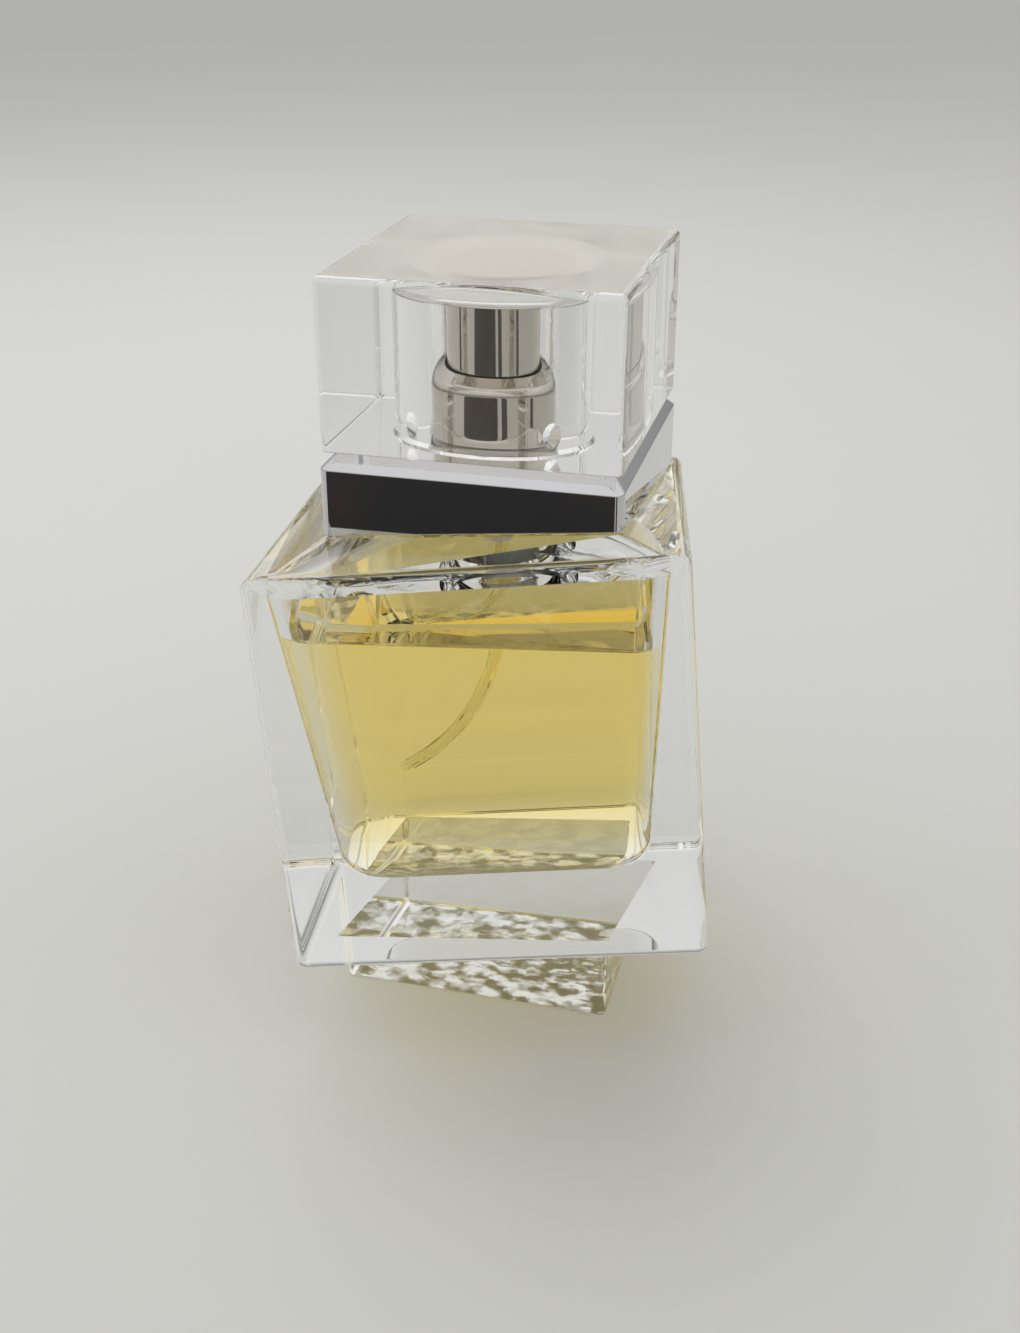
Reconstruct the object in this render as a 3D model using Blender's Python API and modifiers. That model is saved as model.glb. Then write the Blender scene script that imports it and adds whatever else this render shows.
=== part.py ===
"""Perfume bottle: a leaning glass block on a level foot, with a crimped spray pump, a wedge collar and a
clear cap. Metres, +Z up. The origin is the centre of the foot's flat underside, on the pump's axis.
"""

import math

import bmesh
import bpy
from mathutils import Matrix, Vector

MM = 0.001
GAP = 0.3 * MM  # clearance between pieces that seat on each other
MOUTH_GAP = 0.4 * MM  # clearance round the edge of a metal mouth
CUT = 2 * MM  # length that a cutter runs past what it cuts
SIDES = 48  # sides of a turned piece

# Glass block. It leans: its top and bottom planes rise by LEAN_X along +X and by LEAN_Y along +Y.
BLOCK_WIDTH = 52.7 * MM
BLOCK_HEIGHT = 51.55 * MM
BLOCK_TAPER = 0.986  # width at the bottom over width at the top
BLOCK_YAW = math.radians(10.1)
LEAN_X = 0.112
LEAN_Y = -0.099
BLOCK_OFFSET = Vector((-1.1 * MM, -0.3 * MM))  # of the block's centre from the pump's axis
BLOCK_BEVEL = 1.3 * MM

# Level foot under the block, measured at the pump's axis.
FOOT_WIDTH = 36.0 * MM
FOOT_HEIGHT = 10.5 * MM
FOOT_BEVEL = 0.7 * MM
FOOT_OVERLAP = 1.5 * MM  # depth of the foot inside the block, where they are one glass

# Shoulder between the block's top and the collar, and the neck on it.
SHOULDER_RISE = 2.5 * MM
SHOULDER_INSET = 1.0 * MM
NECK_HEIGHT = 7.9 * MM
NECK_BEAD_RADIUS = 9.9 * MM
NECK_BEAD_HEIGHT = 3.0 * MM
NECK_EDGE = 0.4 * MM  # chamfer of the neck's rim
NECK_BEAD_DEPTH = 1.0 * MM  # of the throat behind the bead
NECK_WALL = 2.4 * MM

# Chamber inside the block, in the block's own directions.
CHAMBER_TOP_WIDTH = 48.0 * MM
CHAMBER_FLOOR_WIDTH = 38.4 * MM
CHAMBER_CEILING = 2.8 * MM  # glass over the chamber
CHAMBER_BASE = 9.8 * MM  # glass under the chamber
CHAMBER_CORNER = 4.0 * MM
CHAMBER_FLOOR_EDGE = 4.5 * MM  # rise of the sloping facet round the floor
CHAMBER_FLOOR_SLOPE = 0.8  # run of that facet over its rise
CHAMBER_VAULT = 2.2 * MM  # rise of the ceiling towards the neck
CHAMBER_VAULT_RADIUS = 9.0 * MM
LIQUID_BELOW_PUMP = 0.6 * MM  # of the liquid's surface below the pump's foot

# Collar, as square as the cap and level on top.
COLLAR_WIDTH = 36.5 * MM
COLLAR_OVER_NECK = 2.3 * MM  # of the collar's top over the neck's rim
COLLAR_WALL = 1.0 * MM
COLLAR_CORNER = 1.3 * MM
COLLAR_CHAMFER = 1.75 * MM

# Cap.
CAP_WIDTH = 36.0 * MM
CAP_HEIGHT = 20.66 * MM
CAP_TOP_BEVEL = 0.9 * MM
CAP_BASE_BEVEL = 0.35 * MM
CAP_CORNER = 0.9 * MM
CAP_CLEARANCE = 0.57 * MM  # between the cap's bore and the pump's cover
CAP_HEADROOM = 0.9 * MM  # between the cap's bore and the top of the actuator
CAP_BORE_FILLET = 0.8 * MM
NUB_RADIUS = 2.2 * MM
NUB_FLATNESS = 0.4  # depth of a grip nub over its width
NUB_HEIGHT = 2.3 * MM  # of a grip nub's centre over the cap's base
NUBS = 4

# Crimp and cover.
FERRULE_WALL = 0.4 * MM
FERRULE_MOUTH_RADIUS = 5.6 * MM
FERRULE_EDGE = 0.5 * MM  # chamfer of the ferrule's edges
COVER_WALL = 0.5 * MM
COVER_CLEARANCE = 0.4 * MM  # between the cover and the ferrule
COVER_FILLET = 1.1 * MM
COVER_OVER_COLLAR = 8.1 * MM  # of the cover's shoulder over the collar's top
COVER_DOME = 0.5 * MM
COVER_SKIRT = 5.3 * MM  # depth of the cover below the collar's top

# Pump. Heights of the pieces stacked on the neck's rim.
NECK_GASKET_HEIGHT = 0.9 * MM
FLANGE_HEIGHT = 1.0 * MM
STEM_GASKET_HEIGHT = 0.6 * MM
TURRET_HEIGHT = 1.0 * MM
TURRET_OVERLAP = 2.4 * MM  # of the ferrule's lip over the turret
HOUSING_CLEARANCE = 1.3 * MM  # between the housing and the neck's bore
HOUSING_WALL = 1.6 * MM
HOUSING_BORE_DEPTH = 13.2 * MM
HOUSING_STEP = 0.9 * MM  # of the housing's taper over the bore's floor
CAGE_RADIUS = 1.7 * MM
CAGE_HEIGHT = 2.5 * MM
CAGE_WALL = 1.2 * MM
LIP_RADIUS = 1.0 * MM
LIP_HEIGHT = 0.4 * MM
SEAT_HEIGHT = 0.8 * MM
INLET_RADIUS = 0.8 * MM
INLET_LENGTH = 0.6 * MM
SOCKET_DEPTH = 3.5 * MM
SOCKET_WALL = 0.9 * MM
BALL_RADIUS = 1.2 * MM
TUBE_RADIUS = 0.9 * MM
TUBE_WALL = 0.35 * MM
TUBE_STRAIGHT = 3.4 * MM  # straight length below the tube's upper end
TUBE_BELLY = 0.42  # height of the curve's control point, as a share of the drop below the bend
TUBE_END_INSET = 5.2 * MM  # of the tube's lower end from the chamber's two nearest walls
TUBE_END_RISE = 5.5 * MM  # of the tube's lower end over the chamber's floor
STEM_RADIUS = 1.75 * MM
STEM_BORE_RADIUS = 0.6 * MM
STROKE = 4.5 * MM
PISTON_HEIGHT = 2.8 * MM
PISTON_DEPTH = 1.7 * MM  # of the piston's top below the housing's top
STEM_IN_PISTON = 1.2 * MM
PIN_HEAD_HEIGHT = 0.7 * MM
PIN_RADIUS = 1.5 * MM
PIN_TAIL = 1.5 * MM
SPRING_WIRE = 0.4 * MM
SPRING_TURNS = 5

# Actuator.
ACTUATOR_RADIUS = 8.5 * MM
ACTUATOR_HEIGHT = 9.4 * MM
ACTUATOR_WALL = 0.4 * MM
ACTUATOR_FILLET = 0.5 * MM
STEM_GRIP = 2.7 * MM  # length of stem inside the actuator's core
NOZZLE_RADIUS = 1.4 * MM
NOZZLE_LENGTH = 1.8 * MM
NOZZLE_HEIGHT = 5.2 * MM  # of the nozzle's axis over the actuator's lower edge
ORIFICE_RADIUS = 0.3 * MM
ORIFICE_DEPTH = 0.5 * MM
ORIFICE_FLARE = 0.2 * MM  # depth of the cone round the orifice
CHANNEL_RADIUS = 0.7 * MM
SPRAY_CHANNEL_RADIUS = 0.6 * MM

# Directions of the block, and heights that follow from the sizes above.
BLOCK_UP = Vector((-LEAN_X, -LEAN_Y, 1)).normalized()
LEVEL_RIGHT = Vector((math.cos(BLOCK_YAW), math.sin(BLOCK_YAW), 0))
BLOCK_RIGHT = (LEVEL_RIGHT - BLOCK_UP * LEVEL_RIGHT.dot(BLOCK_UP)).normalized()
BLOCK_BACK = BLOCK_UP.cross(BLOCK_RIGHT)

# Radii that follow from the neck's bead.
NECK_THROAT_RADIUS = NECK_BEAD_RADIUS - NECK_BEAD_DEPTH
NECK_BORE_RADIUS = NECK_THROAT_RADIUS - NECK_WALL
HOUSING_RADIUS = NECK_BORE_RADIUS - HOUSING_CLEARANCE
HOUSING_BORE_RADIUS = HOUSING_RADIUS - HOUSING_WALL
FLANGE_RADIUS = NECK_BEAD_RADIUS - GAP
FERRULE_RADIUS = NECK_BEAD_RADIUS + GAP + FERRULE_WALL
TURRET_RADIUS = FERRULE_MOUTH_RADIUS + TURRET_OVERLAP
COVER_RADIUS = FERRULE_RADIUS + COVER_CLEARANCE + COVER_WALL
CAP_BORE_RADIUS = COVER_RADIUS + CAP_CLEARANCE


def lean(x, y):
    """Rise of the block's planes from the pump's axis to the point (x, y)."""
    return LEAN_X * x + LEAN_Y * y


BLOCK_HALF_AXIS = BLOCK_HEIGHT / 2 / BLOCK_UP.z  # half the block's height, measured up the pump's axis
BLOCK_CENTRE = Vector(
    (*BLOCK_OFFSET, FOOT_HEIGHT + BLOCK_HALF_AXIS + lean(*BLOCK_OFFSET))
)
SHOULDER_TOP = FOOT_HEIGHT + 2 * BLOCK_HALF_AXIS + SHOULDER_RISE
NECK_TOP = SHOULDER_TOP + NECK_HEIGHT
COLLAR_BOTTOM = SHOULDER_TOP + GAP
COLLAR_TOP = NECK_TOP + COLLAR_OVER_NECK
CAP_BASE = COLLAR_TOP + GAP
CAP_TOP = CAP_BASE + CAP_HEIGHT

NECK_GASKET_BASE = NECK_TOP + GAP
FLANGE_BASE = NECK_GASKET_BASE + NECK_GASKET_HEIGHT + GAP
HOUSING_TOP = FLANGE_BASE + FLANGE_HEIGHT
STEM_GASKET_BASE = HOUSING_TOP + GAP
TURRET_BASE = STEM_GASKET_BASE + STEM_GASKET_HEIGHT + GAP
FERRULE_LIP_BASE = TURRET_BASE + TURRET_HEIGHT + GAP
FERRULE_TOP = FERRULE_LIP_BASE + FERRULE_WALL
ACTUATOR_BASE = FERRULE_TOP + GAP + STROKE
ACTUATOR_TOP = ACTUATOR_BASE + ACTUATOR_HEIGHT
COVER_SHOULDER = COLLAR_TOP + COVER_OVER_COLLAR
CAP_BORE_ROOF = ACTUATOR_TOP + CAP_HEADROOM

BORE_FLOOR = HOUSING_TOP - HOUSING_BORE_DEPTH
CAGE_TOP = BORE_FLOOR - LIP_HEIGHT
SEAT_TOP = CAGE_TOP - CAGE_HEIGHT
INLET_TOP = SEAT_TOP - SEAT_HEIGHT
SOCKET_TOP = INLET_TOP - INLET_LENGTH
HOUSING_FOOT = SOCKET_TOP - SOCKET_DEPTH
LIQUID_LEVEL = HOUSING_FOOT - LIQUID_BELOW_PUMP
CHAMBER_FLOOR = CHAMBER_BASE - BLOCK_HEIGHT / 2  # measured in the block, as is the roof
CHAMBER_ROOF = BLOCK_HEIGHT / 2 - CHAMBER_CEILING
SOCKET_RADIUS = TUBE_RADIUS + GAP
PISTON_TOP = HOUSING_TOP - PISTON_DEPTH
PISTON_BASE = PISTON_TOP - PISTON_HEIGHT
PIN_HEAD_BASE = PISTON_BASE - GAP - PIN_HEAD_HEIGHT
STEM_BASE = PISTON_TOP - STEM_IN_PISTON
STEM_TOP = ACTUATOR_BASE + STEM_GRIP
SPRING_RADIUS = (HOUSING_BORE_RADIUS + PIN_RADIUS) / 2


def clear_scene():
    for item in list(bpy.data.objects):
        bpy.data.objects.remove(item, do_unlink=True)
    for item in list(bpy.data.collections):
        bpy.data.collections.remove(item)


def new_collection(name):
    made = bpy.data.collections.new(name)
    bpy.context.scene.collection.children.link(made)
    return made


def new_material(name, colour, roughness, metallic=0.0, transmission=0.0, ior=1.5):
    made = bpy.data.materials.new(name)
    made.use_nodes = True
    shader = made.node_tree.nodes["Principled BSDF"]
    shader.inputs["Base Color"].default_value = (*colour, 1)
    shader.inputs["Roughness"].default_value = roughness
    shader.inputs["Metallic"].default_value = metallic
    shader.inputs["Transmission Weight"].default_value = transmission
    shader.inputs["IOR"].default_value = ior
    made.diffuse_color = (*colour, 1)
    return made


def new_object(name, mesh, material=None):
    """A part when it has a material, and otherwise a helper that only cuts or joins."""
    made = bpy.data.objects.new(name, mesh)
    if material:
        mesh.materials.append(material)
        parts.objects.link(made)
    else:
        made.hide_render = True
        made.display_type = "WIRE"
        helpers.objects.link(made)
    return made


def mesh_from(shape, name):
    bmesh.ops.recalc_face_normals(shape, faces=shape.faces)
    mesh = bpy.data.meshes.new(name)
    shape.to_mesh(mesh)
    shape.free()
    return mesh


def turned(name, profile, material=None, ring=False):
    """A profile of (radius, height) turned about the pump's axis. It runs down the outer side."""
    mesh = bpy.data.meshes.new(name)
    edges = [(i, i + 1) for i in range(len(profile) - 1)]
    if ring:
        edges.append((len(profile) - 1, 0))
    mesh.from_pydata([(r, 0, z) for r, z in profile], edges, [])
    made = new_object(name, mesh, material)
    screw = made.modifiers.new("turn", "SCREW")
    screw.steps = screw.render_steps = SIDES
    screw.use_merge_vertices = True
    screw.merge_threshold = 0.00001
    screw.use_smooth_shade = True
    return made


def ring(name, inner, outer, base, top, material=None):
    profile = [(outer, top), (outer, base), (inner, base), (inner, top)]
    return turned(name, profile, material, ring=True)


def rod(name, radius, base, top, material=None):
    return turned(name, [(0, top), (radius, top), (radius, base), (0, base)], material)


def arc(centre_r, centre_z, radius, start, end, steps=4):
    """Points of a fillet in a profile, with angles in degrees from +r towards +z."""
    turns = [math.radians(start + (end - start) * i / steps) for i in range(steps + 1)]
    return [(centre_r + radius * math.cos(t), centre_z + radius * math.sin(t)) for t in turns]


def rounded_square(width, corner, steps):
    """Outline of a square with round corners, or with chamfered ones when steps is 1."""
    middle = width / 2 - corner
    outline = []
    for quarter in range(4):
        turn = math.radians(90 * quarter)
        centre = Vector((middle, middle))
        for i in range(steps + 1):
            angle = math.radians(90 * i / steps)
            point = centre + corner * Vector((math.cos(angle), math.sin(angle)))
            outline.append(Matrix.Rotation(turn, 2) @ point)
    return outline


def hull(name, points, material=None):
    shape = bmesh.new()
    for point in points:
        shape.verts.new(point)
    found = bmesh.ops.convex_hull(shape, input=shape.verts)
    loose = [v for v in found["geom_interior"] if isinstance(v, bmesh.types.BMVert)]
    bmesh.ops.delete(shape, geom=loose, context="VERTS")
    bmesh.ops.dissolve_limit(
        shape, angle_limit=0.002, verts=shape.verts[:], edges=shape.edges[:]
    )
    return new_object(name, mesh_from(shape, name), material)


def combine(piece, helper, operation):
    step = piece.modifiers.new(f"{operation.lower()} {helper.name}", "BOOLEAN")
    step.operation = operation
    step.solver = "EXACT"
    step.object = helper


def in_block(right, back, up):
    """A point given in the block's own directions from its centre."""
    return BLOCK_CENTRE + BLOCK_RIGHT * right + BLOCK_BACK * back + BLOCK_UP * up


def block():
    """The leaning block before the chamber is cut, with polished edges."""
    shape = bmesh.new()
    bmesh.ops.create_cube(shape, size=1)
    for vert in shape.verts:
        width = BLOCK_WIDTH if vert.co.z > 0 else BLOCK_WIDTH * BLOCK_TAPER
        vert.co = in_block(vert.co.x * width, vert.co.y * width, vert.co.z * BLOCK_HEIGHT)
    made = new_object("glass_bottle", mesh_from(shape, "glass_bottle"), glass)
    bevel = made.modifiers.new("polished edges", "BEVEL")
    bevel.width = BLOCK_BEVEL
    bevel.segments = 3
    return made


def shoulder():
    """Loft from the block's turned and leaning top to the collar's outline."""
    half = BLOCK_WIDTH / 2 - SHOULDER_INSET
    low = [
        in_block(x * half, y * half, BLOCK_HEIGHT / 2 - BLOCK_BEVEL)
        for x in (-1, 1)
        for y in (-1, 1)
    ]
    high = [
        (x, y, SHOULDER_TOP + lean(x, y))
        for x, y in rounded_square(COLLAR_WIDTH, COLLAR_CORNER, 3)
    ]
    return hull("shoulder", low + high)


def neck():
    """Throat and bead that the ferrule is crimped on."""
    bead_base = NECK_TOP - NECK_BEAD_HEIGHT
    slope = NECK_BEAD_RADIUS - NECK_THROAT_RADIUS
    profile = [(0, NECK_TOP), (NECK_BEAD_RADIUS - NECK_EDGE, NECK_TOP)]
    profile += [(NECK_BEAD_RADIUS, NECK_TOP - NECK_EDGE)]
    profile += [(NECK_BEAD_RADIUS, bead_base + slope), (NECK_THROAT_RADIUS, bead_base)]
    base = SHOULDER_TOP - SHOULDER_RISE
    profile += [(NECK_THROAT_RADIUS, base), (0, base)]
    return turned("neck", profile)


def foot():
    """Level foot, whose hidden top follows the block's underside."""
    shape = bmesh.new()
    bmesh.ops.create_cube(shape, size=1)
    for vert in shape.verts:
        x, y = vert.co.x * FOOT_WIDTH, vert.co.y * FOOT_WIDTH
        top = FOOT_HEIGHT + FOOT_OVERLAP + lean(x, y)
        vert.co = (x, y, top if vert.co.z > 0 else 0)
    made = new_object("foot", mesh_from(shape, "foot"))
    bevel = made.modifiers.new("polished edges", "BEVEL")
    bevel.width = FOOT_BEVEL
    bevel.segments = 2
    return made


def chamber_width(up):
    """Width of the tapered chamber at a height in the block's own frame."""
    low, high = CHAMBER_FLOOR, CHAMBER_ROOF
    return CHAMBER_FLOOR_WIDTH + (CHAMBER_TOP_WIDTH - CHAMBER_FLOOR_WIDTH) * (up - low) / (high - low)


def chamber_points(inset):
    """Points whose hull is the chamber, or the space that lies inset from its walls."""
    points = []
    facet_up = CHAMBER_FLOOR + CHAMBER_FLOOR_EDGE
    floor_width = chamber_width(CHAMBER_FLOOR) - 2 * CHAMBER_FLOOR_SLOPE * CHAMBER_FLOOR_EDGE
    levels = (
        (CHAMBER_ROOF - inset, chamber_width(CHAMBER_ROOF)),
        (facet_up, chamber_width(facet_up)),
        (CHAMBER_FLOOR + inset, floor_width),
    )
    for up, width in levels:
        outline = rounded_square(width - 2 * inset, CHAMBER_CORNER, 4)
        points += [in_block(x, y, up) for x, y in outline]
    return points


def vault_points():
    """Ring round the pump's axis that lifts the chamber's ceiling towards the neck."""
    height = SHOULDER_TOP - SHOULDER_RISE - CHAMBER_CEILING + CHAMBER_VAULT
    ring_points = []
    for i in range(24):
        angle = math.radians(15 * i)
        x = CHAMBER_VAULT_RADIUS * math.cos(angle)
        y = CHAMBER_VAULT_RADIUS * math.sin(angle)
        ring_points.append((x, y, height + lean(x, y)))
    return ring_points


def glass_bottle():
    made = block()
    combine(made, shoulder(), "UNION")
    combine(made, neck(), "UNION")
    combine(made, foot(), "UNION")
    combine(made, hull("chamber", chamber_points(0) + vault_points()), "DIFFERENCE")
    bore_base = SHOULDER_TOP - SHOULDER_RISE - CHAMBER_CEILING - CUT
    bore = rod("neck_bore", NECK_BORE_RADIUS, bore_base, NECK_TOP + CUT)
    combine(made, bore, "DIFFERENCE")


def tube_route(extra=0.0):
    """Smooth curve from the pump's socket to the chamber's lowest corner, with extra length past its end."""
    start = Vector((0, 0, SOCKET_TOP - GAP))
    bend = start - Vector((0, 0, TUBE_STRAIGHT))
    aside = chamber_width(CHAMBER_FLOOR) / 2 - TUBE_END_INSET
    end = in_block(-aside, aside, CHAMBER_FLOOR + TUBE_END_RISE)
    middle = Vector((0, 0, end.z + TUBE_BELLY * (bend.z - end.z)))
    points = [start, (start + bend) / 2]
    for i in range(25):
        t = i / 24
        points.append(bend * (1 - t) ** 2 + middle * 2 * t * (1 - t) + end * t * t)
    if extra:
        points.append(end + (end - middle).normalized() * extra)
    return points


def swept(name, points, radius, caps, material=None):
    """A round section along the points, as a mesh."""
    path = bpy.data.curves.new(name, "CURVE")
    path.dimensions = "3D"
    path.bevel_depth = radius
    path.bevel_resolution = 2
    path.use_fill_caps = caps
    spline = path.splines.new("POLY")
    spline.points.add(len(points) - 1)
    for point, place in zip(spline.points, points):
        point.co = (*place, 1)
    guide = bpy.data.objects.new(name, path)
    helpers.objects.link(guide)
    graph = bpy.context.evaluated_depsgraph_get()
    mesh = bpy.data.meshes.new_from_object(guide.evaluated_get(graph))
    bpy.data.objects.remove(guide, do_unlink=True)
    bpy.data.curves.remove(path)
    shape = bmesh.new()
    shape.from_mesh(mesh)
    bpy.data.meshes.remove(mesh)
    bmesh.ops.remove_doubles(shape, verts=shape.verts, dist=0.000001)
    return new_object(name, mesh_from(shape, name), material)


def dip_tube():
    made = swept("dip_tube", tube_route(), TUBE_RADIUS, False, clear_plastic)
    made.data.shade_smooth()
    wall = made.modifiers.new("wall", "SOLIDIFY")
    wall.thickness = TUBE_WALL
    wall.offset = -1


def perfume():
    """Liquid that fills the chamber to a level surface, with room for the dip tube."""
    shape = bmesh.new()
    for point in chamber_points(GAP):
        shape.verts.new(point)
    bmesh.ops.convex_hull(shape, input=shape.verts)
    everything = shape.verts[:] + shape.edges[:] + shape.faces[:]
    surface = (0, 0, LIQUID_LEVEL)
    bmesh.ops.bisect_plane(
        shape, geom=everything, plane_co=surface, plane_no=(0, 0, 1), clear_outer=True
    )
    filled = [vert.co.copy() for vert in shape.verts]
    shape.free()
    made = hull("perfume", filled, liquid)
    channel = swept("tube_channel", tube_route(2 * GAP), TUBE_RADIUS + GAP, True)
    combine(made, channel, "DIFFERENCE")


def collar_outline(width, height_at):
    outline = rounded_square(width, COLLAR_CORNER, 4)
    return [(x, y, height_at(x, y)) for x, y in outline]


def collar_base(x, y):
    return COLLAR_BOTTOM + lean(x, y)


def collar_shell():
    """Metal skin: upright sides, a leaning lower edge and a level, chamfered top."""
    edge = COLLAR_TOP - COLLAR_CHAMFER
    outer = collar_outline(COLLAR_WIDTH, collar_base)
    outer += collar_outline(COLLAR_WIDTH, lambda x, y: edge)
    outer += collar_outline(COLLAR_WIDTH - 2 * COLLAR_CHAMFER, lambda x, y: COLLAR_TOP)
    made = hull("collar_shell", outer, chrome)
    inner = collar_outline(COLLAR_WIDTH - 2 * COLLAR_WALL, lambda x, y: collar_base(x, y) - CUT)
    inner += collar_outline(COLLAR_WIDTH - 2 * COLLAR_WALL, lambda x, y: edge - COLLAR_WALL / 2)
    roof = COLLAR_TOP - COLLAR_WALL
    inner += collar_outline(COLLAR_WIDTH - 2 * COLLAR_CHAMFER - COLLAR_WALL, lambda x, y: roof)
    combine(made, hull("collar_hollow", inner), "DIFFERENCE")
    mouth = rod("collar_mouth", COVER_RADIUS + MOUTH_GAP, COLLAR_TOP - CUT, COLLAR_TOP + CUT)
    combine(made, mouth, "DIFFERENCE")


def collar_core():
    """Plastic core between the collar's skin and the ferrule's cover."""
    width = COLLAR_WIDTH - 2 * (COLLAR_WALL + GAP)
    edge = COLLAR_TOP - COLLAR_CHAMFER - COLLAR_WALL / 2 - GAP
    roof = COLLAR_TOP - COLLAR_WALL - GAP
    outer = collar_outline(width, collar_base)
    outer += collar_outline(width, lambda x, y: edge)
    outer += collar_outline(width - 2 * COLLAR_CHAMFER, lambda x, y: roof)
    made = hull("collar_core", outer, dark_plastic)
    reach = BLOCK_HEIGHT
    bore = rod("core_bore", COVER_RADIUS + GAP, COLLAR_TOP - reach, COLLAR_TOP + CUT)
    combine(made, bore, "DIFFERENCE")


def cap_block():
    """Thick clear cap with a round bore and four grip nubs near its mouth."""
    levels = (
        (CAP_BASE, CAP_WIDTH - 2 * CAP_BASE_BEVEL),
        (CAP_BASE + CAP_BASE_BEVEL, CAP_WIDTH),
        (CAP_TOP - CAP_TOP_BEVEL, CAP_WIDTH),
        (CAP_TOP, CAP_WIDTH - 2 * CAP_TOP_BEVEL),
    )
    points = []
    for height, width in levels:
        points += [(x, y, height) for x, y in rounded_square(width, CAP_CORNER, 1)]
    made = hull("cap_block", points, clear_plastic)
    roof = CAP_BORE_ROOF
    profile = [(0, roof)]
    profile += arc(CAP_BORE_RADIUS - CAP_BORE_FILLET, roof - CAP_BORE_FILLET, CAP_BORE_FILLET, 90, 0)
    profile += [(CAP_BORE_RADIUS, CAP_BASE - CUT), (0, CAP_BASE - CUT)]
    combine(made, turned("cap_bore", profile), "DIFFERENCE")
    proud = CAP_BORE_RADIUS - COVER_RADIUS - GAP
    for i in range(NUBS):
        angle = math.radians(45 + 360 / NUBS * i)
        shape = bmesh.new()
        bmesh.ops.create_uvsphere(shape, u_segments=20, v_segments=12, radius=NUB_RADIUS)
        for vert in shape.verts:
            vert.co.x *= NUB_FLATNESS
        nub = new_object(f"grip_nub_{i + 1}", mesh_from(shape, "grip_nub"))
        reach = CAP_BORE_RADIUS - proud + NUB_FLATNESS * NUB_RADIUS
        nub.location = (
            reach * math.cos(angle),
            reach * math.sin(angle),
            CAP_BASE + NUB_HEIGHT,
        )
        nub.rotation_euler = (0, 0, angle)
        combine(made, nub, "UNION")


def crimp_ferrule():
    """Thin metal ferrule that grips the neck's bead from below and clamps the pump on top."""
    inner = NECK_BEAD_RADIUS + GAP
    outer = FERRULE_RADIUS
    lip_in = NECK_THROAT_RADIUS + GAP
    lip_top = NECK_TOP - NECK_BEAD_HEIGHT - GAP
    lip_base = lip_top - FERRULE_WALL
    slope = inner - lip_in
    profile = [
        (FERRULE_MOUTH_RADIUS, FERRULE_TOP),
        (outer - FERRULE_EDGE, FERRULE_TOP),
        (outer, FERRULE_TOP - FERRULE_EDGE),
        (outer, lip_base + slope),
        (outer - FERRULE_EDGE, lip_base),
        (lip_in, lip_base),
        (lip_in, lip_top),
        (inner, lip_top + slope),
        (inner, FERRULE_LIP_BASE),
        (FERRULE_MOUTH_RADIUS, FERRULE_LIP_BASE),
    ]
    turned("crimp_ferrule", profile, aluminium, ring=True)


def ferrule_cover():
    """Polished cover: a tall skirt, a rounded shoulder and a low dome round the actuator."""
    mouth = ACTUATOR_RADIUS + MOUTH_GAP
    fillet = arc(COVER_RADIUS - COVER_FILLET, COVER_SHOULDER - COVER_FILLET, COVER_FILLET, 90, 0, 5)
    inside = arc(
        COVER_RADIUS - COVER_FILLET,
        COVER_SHOULDER - COVER_FILLET,
        COVER_FILLET - COVER_WALL,
        0,
        90,
        4,
    )
    base = COLLAR_TOP - COVER_SKIRT
    profile = [(mouth, COVER_SHOULDER + COVER_DOME)]
    profile += fillet
    profile += [(COVER_RADIUS, base), (COVER_RADIUS - COVER_WALL, base)]
    profile += inside
    profile += [(mouth, COVER_SHOULDER + COVER_DOME - COVER_WALL)]
    turned("ferrule_cover", profile, chrome, ring=True)


def pump_housing():
    """Flange on the neck's gasket, metering bore, ball cage and the dip tube's socket."""
    cage_out = CAGE_RADIUS + CAGE_WALL
    socket_out = SOCKET_RADIUS + SOCKET_WALL
    profile = [
        (FLANGE_RADIUS, HOUSING_TOP),
        (FLANGE_RADIUS, FLANGE_BASE),
        (HOUSING_RADIUS, FLANGE_BASE),
        (HOUSING_RADIUS, BORE_FLOOR + HOUSING_STEP),
        (cage_out, CAGE_TOP - GAP),
        (cage_out, INLET_TOP),
        (socket_out, SOCKET_TOP - SOCKET_WALL),
        (socket_out, HOUSING_FOOT),
        (SOCKET_RADIUS, HOUSING_FOOT),
        (SOCKET_RADIUS, SOCKET_TOP),
        (INLET_RADIUS, SOCKET_TOP),
        (INLET_RADIUS, INLET_TOP),
        (CAGE_RADIUS, SEAT_TOP),
        (CAGE_RADIUS, CAGE_TOP),
        (LIP_RADIUS, CAGE_TOP),
        (LIP_RADIUS, BORE_FLOOR),
        (HOUSING_BORE_RADIUS, BORE_FLOOR),
        (HOUSING_BORE_RADIUS, HOUSING_TOP),
    ]
    turned("pump_housing", profile, white_plastic, ring=True)


def pump_seals():
    """Neck gasket, stem gasket and the turret over it."""
    top = NECK_GASKET_BASE + NECK_GASKET_HEIGHT
    ring("neck_gasket", NECK_BORE_RADIUS + GAP, FLANGE_RADIUS, NECK_GASKET_BASE, top, rubber)
    inner = STEM_RADIUS + GAP
    top = STEM_GASKET_BASE + STEM_GASKET_HEIGHT
    ring("stem_gasket", inner, TURRET_RADIUS - GAP, STEM_GASKET_BASE, top, rubber)
    ring("turret", inner, TURRET_RADIUS, TURRET_BASE, TURRET_BASE + TURRET_HEIGHT, white_plastic)


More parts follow.
